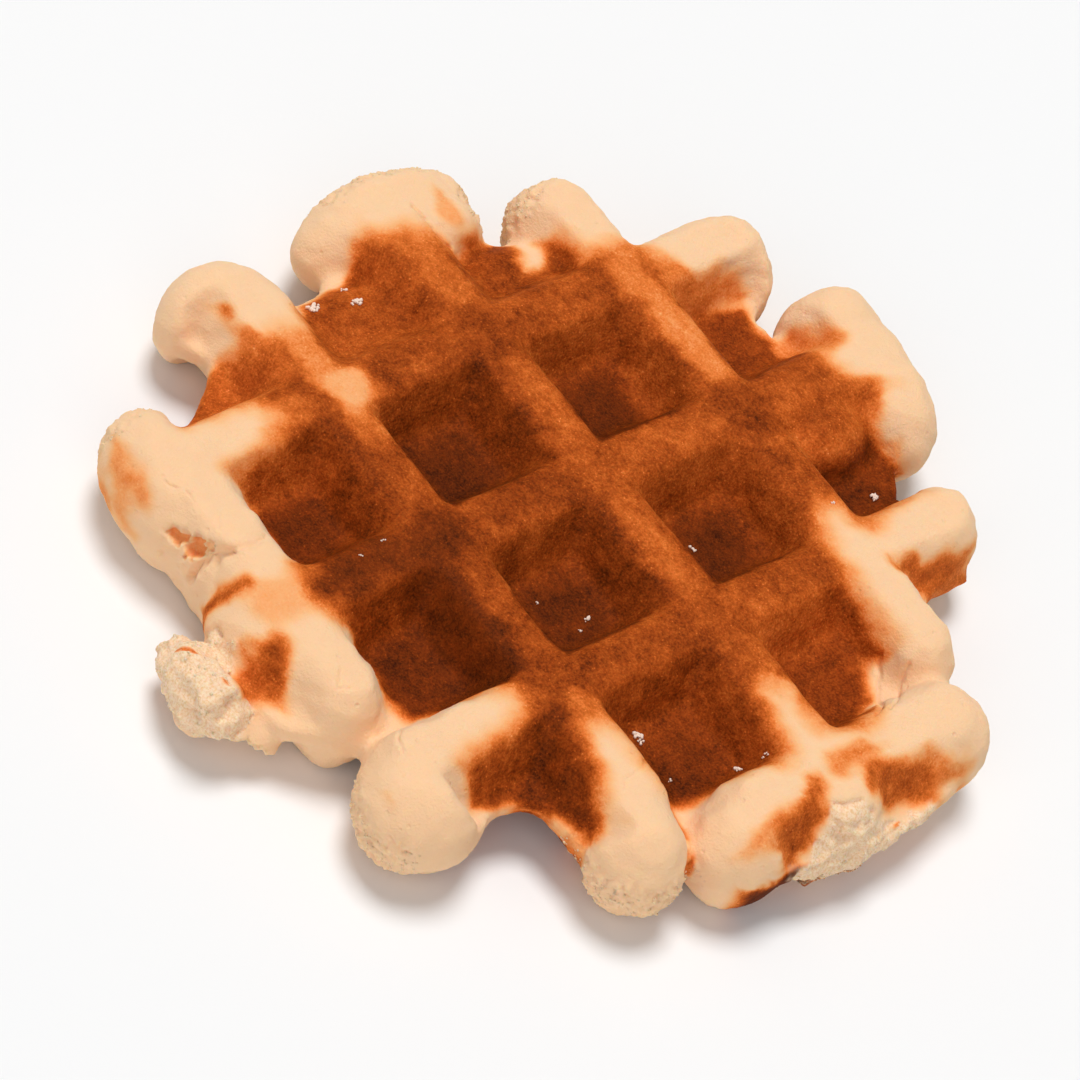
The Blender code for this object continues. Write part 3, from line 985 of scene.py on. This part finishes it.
# The crumbs of the rims and tears -----------------------------------------------------------
# Granules of dry dough that stand on the ragged rims and on the torn crumb, still held by it.
# Places: x, y, radius, lowest and highest, number, size in mm, tone.
granule_rims = {
    "left end of ridge 2": (-1.24, 1.36, 0.26, -0.10, 0.32, 220, 0.17, 0.0),
    "left end of ridge 2, further along": (-1.22, 0.98, 0.24, -0.10, 0.32, 150, 0.15, 0.0),
    "right side of ridge 2's left end": (-0.84, 1.58, 0.18, -0.12, 0.30, 110, 0.17, 0.02),
    "left end of ridge 3": (-0.82, 1.84, 0.25, -0.15, 0.32, 260, 0.17, 0.0),
    "lower end of cross ridge 1": (-0.46, -1.00, 0.20, -0.10, 0.24, 70, 0.20, 0.03),
    "lower end of cross ridge 3": (2.10, -1.20, 0.34, -0.15, 0.06, 150, 0.18, 0.02),
    "right end of ridge 1": (3.10, -0.10, 0.30, -0.16, 0.06, 150, 0.18, 0.02),
    "right end of ridge 1, near": (2.80, -0.32, 0.22, -0.16, 0.04, 80, 0.18, 0.02),
    "browned edge under the right rim": (3.40, 1.10, 0.44, -0.22, -0.12, 120, 0.22, 0.70),
    "browned edge by the hollow": (3.36, 0.66, 0.16, -0.20, -0.06, 40, 0.24, 0.88),
    "torn lower rim": (0.98, -1.52, 0.52, -0.14, 0.20, 150, 0.20, 0.0),
    "torn right rim": (3.38, 1.05, 0.50, -0.14, 0.10, 120, 0.18, 0.0),
}
# Shares of a granule's size: its smallest and largest radius, and how far it is sunk in the skin.
granule_radii = (0.4, 1.3)
granule_sunk = 0.3
granule_steepness = 0.8
rim_crumb_share = 0.3


def granule_shapes(chance):
    """Six bits of dough: small balls with their corners pushed about."""
    shapes = []
    for number in range(6):
        bpy.ops.mesh.primitive_ico_sphere_add(subdivisions=1, radius=1.0)
        shape = bpy.context.object
        for vertex in shape.data.vertices:
            vertex.co *= chance.uniform(0.6, 1.4)
        shapes.append(shape)
    return shapes


def granule(shapes, place, radius, chance):
    """A copy of one of the bits, turned by lot, at a place in metres."""
    shape = chance.choice(shapes)
    copy = bpy.data.objects.new("granule", shape.data.copy())
    bpy.context.collection.objects.link(copy)
    turn = [chance.uniform(0, math.tau) for axis in range(3)]
    copy.rotation_euler = turn
    copy.scale = (radius, radius, radius)
    copy.location = place
    return copy


def rim_granules(shapes):
    """Granules on the skin's own points, drawn by lot where the skin stands steep."""
    chance = random.Random(5)
    points = mesh_points(dough)
    places = grid_points(points)
    normals = mesh_normals(dough)
    torn = torn_share(places)
    granules, tones, crumbs = [], [], []
    for name, (x, y, radius, low, high, count, size, tone) in granule_rims.items():
        near = np.hypot(places[:, 0] - x, places[:, 1] - y) < radius
        near &= (places[:, 2] > low) & (places[:, 2] < high)
        near &= torn > 0.5 if name.startswith("torn") else normals[:, 2] < granule_steepness
        here = list(np.flatnonzero(near))
        for number in chance.sample(here, min(count, len(here))):
            radius_here = size * chance.uniform(*granule_radii) * millimetre
            place = Vector(points[number] - granule_sunk * radius_here * normals[number])
            granules.append(granule(shapes, place, radius_here, chance))
            tones.append(tone)
            crumbs.append(1.0 if name.startswith("torn") else rim_crumb_share)
    return granules, tones, crumbs


shapes = granule_shapes(random.Random(1))
granules, tones, crumbs = rim_granules(shapes)
points_each = len(shapes[0].data.vertices)
rim_crumbs = join(granules, "rim_crumbs")
attribute(rim_crumbs, "browning", np.repeat(tones, points_each))
attribute(rim_crumbs, "torn", np.repeat(crumbs, points_each))
select_only(rim_crumbs)
bpy.ops.object.shade_smooth()
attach(rim_crumbs, "root")
rim_crumbs.data.materials.clear()
rim_crumbs.data.materials.append(crust)

# The loose crumbs ----------------------------------------------------------------------------
# Bits of pale crumb that fell on the baked face and stuck to it: x, y, size of the heap in mm.
loose_heaps = [
    (-0.60, 0.36, 1.0), (-0.52, 0.56, 1.0), (-0.65, 0.59, 0.5), (1.51, 1.36, 0.6),
    (1.63, 0.56, 0.6), (1.67, 0.48, 0.4), (1.43, 0.38, 0.4), (2.32, 0.36, 0.8), (2.36, 0.35, 0.6),
    (2.61, 0.35, 0.4), (2.72, 0.70, 0.7), (2.77, 0.80, 0.4), (1.67, 2.51, 0.9), (1.72, 2.06, 0.4),
    (0.89, -0.30, 0.4), (0.92, -0.46, 0.4),
]
# For a heap of 1 mm: how far its crumbs lie from its middle, their number, their least number, their
# smallest and largest radius, and how far they stand off the skin as a share of their radius.
heap_reach = 0.8
heap_count = 18
least_count = 3
crumb_radii = (0.14, 0.36)
crumb_stand = 0.6

# Dry white crumb: matt, with painted shade in the hollows of its grit relief and painted light on its
# tips.
dry_lit_tips = "#FFEFE2"
dry_shaded_hollows = "#F2D4BE"


def dry_crumb_material():
    material = bpy.data.materials.new("dry_white_crumb")
    material.use_nodes = True
    tree = material.node_tree
    shader = tree.nodes["Principled BSDF"]
    place = node(tree, "ShaderNodeTexCoord").outputs["Object"]
    grit = node(tree, "ShaderNodeTexNoise", {
        "Vector": place, "Scale": 1 / grit_size, "Detail": 2.0, "Roughness": 0.6}).outputs["Fac"]
    # The colour follows the same grit as the bump: painted shade low, painted light high.
    colour = node(tree, "ShaderNodeMix", {
        "Factor": grit, 6: paint(dry_shaded_hollows), 7: paint(dry_lit_tips)}, data_type="RGBA").outputs[2]
    tree.links.new(colour, shader.inputs["Base Color"])
    shader.inputs["Roughness"].default_value = 0.9
    shader.inputs["Specular IOR Level"].default_value = 0.05
    bump = node(tree, "ShaderNodeBump", {
        "Height": grit, "Strength": 0.5, "Distance": 0.1 * millimetre}).outputs["Normal"]
    tree.links.new(bump, shader.inputs["Normal"])
    return material


def loose_granules(shapes):
    chance = random.Random(2)
    bpy.context.view_layer.update()
    granules = []
    for x, y, size in loose_heaps:
        reach = heap_reach * size * millimetre / grid_step
        for number in range(max(least_count, round(heap_count * size))):
            angle, away = chance.uniform(0, math.tau), chance.uniform(0, reach)
            above = at(x + away * math.cos(angle), y + away * math.sin(angle), half)
            found, place, normal, face = dough.ray_cast(above, (0, 0, -1))
            if found:
                radius = size * chance.uniform(*crumb_radii) * millimetre
                granules.append(granule(shapes, place + normal * radius * crumb_stand, radius, chance))
    return granules


loose_crumbs = join(loose_granules(shapes), "loose_crumbs")
for shape in shapes:
    bpy.data.objects.remove(shape)
select_only(loose_crumbs)
bpy.ops.object.shade_smooth()
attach(loose_crumbs, "root")
loose_crumbs.data.materials.clear()
loose_crumbs.data.materials.append(dry_crumb_material())

# Studio --------------------------------------------------------------------------------------
# A pale table in a bright white room, with a strong soft light high behind the waffle's upper left
# and a weaker, broader one before its lower right.
bpy.ops.mesh.primitive_plane_add(size=6.0, location=(0.0, 0.0, lowest.z))
table_top = bpy.context.object
table_top.name = "table_top"
table_finish = bpy.data.materials.new("matt_white_table")
table_finish.use_nodes = True
table_shader = table_finish.node_tree.nodes["Principled BSDF"]
table_shader.inputs["Base Color"].default_value = paint("#F4F4F4")
table_shader.inputs["Roughness"].default_value = 0.9
table_shader.inputs["Specular IOR Level"].default_value = 0.0
table_top.data.materials.append(table_finish)

world = bpy.data.worlds.new("white_room")
world.use_nodes = True
world.node_tree.nodes["Background"].inputs["Color"].default_value = (1.0, 1.0, 1.0, 1.0)
world.node_tree.nodes["Background"].inputs["Strength"].default_value = 0.27
bpy.context.scene.world = world

# Lights: strength, width in degrees, then the direction they come from in x and y, and their
# height above the table in degrees.
lights = {
    "window": (2.05, 24, -0.894, 0.447, 76),
    "reflector": (0.8, 70, 0.57, -0.82, 38),
}
for name, (strength, width, x, y, height) in lights.items():
    sun = bpy.data.lights.new(name, "SUN")
    sun.energy = strength
    sun.angle = math.radians(width)
    lamp = bpy.data.objects.new(name, sun)
    bpy.context.collection.objects.link(lamp)
    from_light = Vector((x, y, math.tan(math.radians(height))))
    lamp.rotation_euler = from_light.to_track_quat("Z", "Y").to_euler()

camera_place = Vector((0.1994, -0.2921, 0.4130))
camera_aim = Vector((-0.0005, -0.0034, 0.0055))
camera_roll = math.radians(23.98)
camera_data = bpy.data.cameras.new("camera")
camera_data.lens = 145
camera = bpy.data.objects.new("camera", camera_data)
bpy.context.collection.objects.link(camera)
camera.location = camera_place
upright = (camera_aim - camera_place).to_track_quat("-Z", "Y").to_matrix()
camera.rotation_euler = (upright @ Matrix.Rotation(camera_roll, 3, "Z")).to_euler()
bpy.context.scene.camera = camera
bpy.context.scene.view_settings.view_transform = "Standard"
bpy.context.scene.view_settings.look = "None"
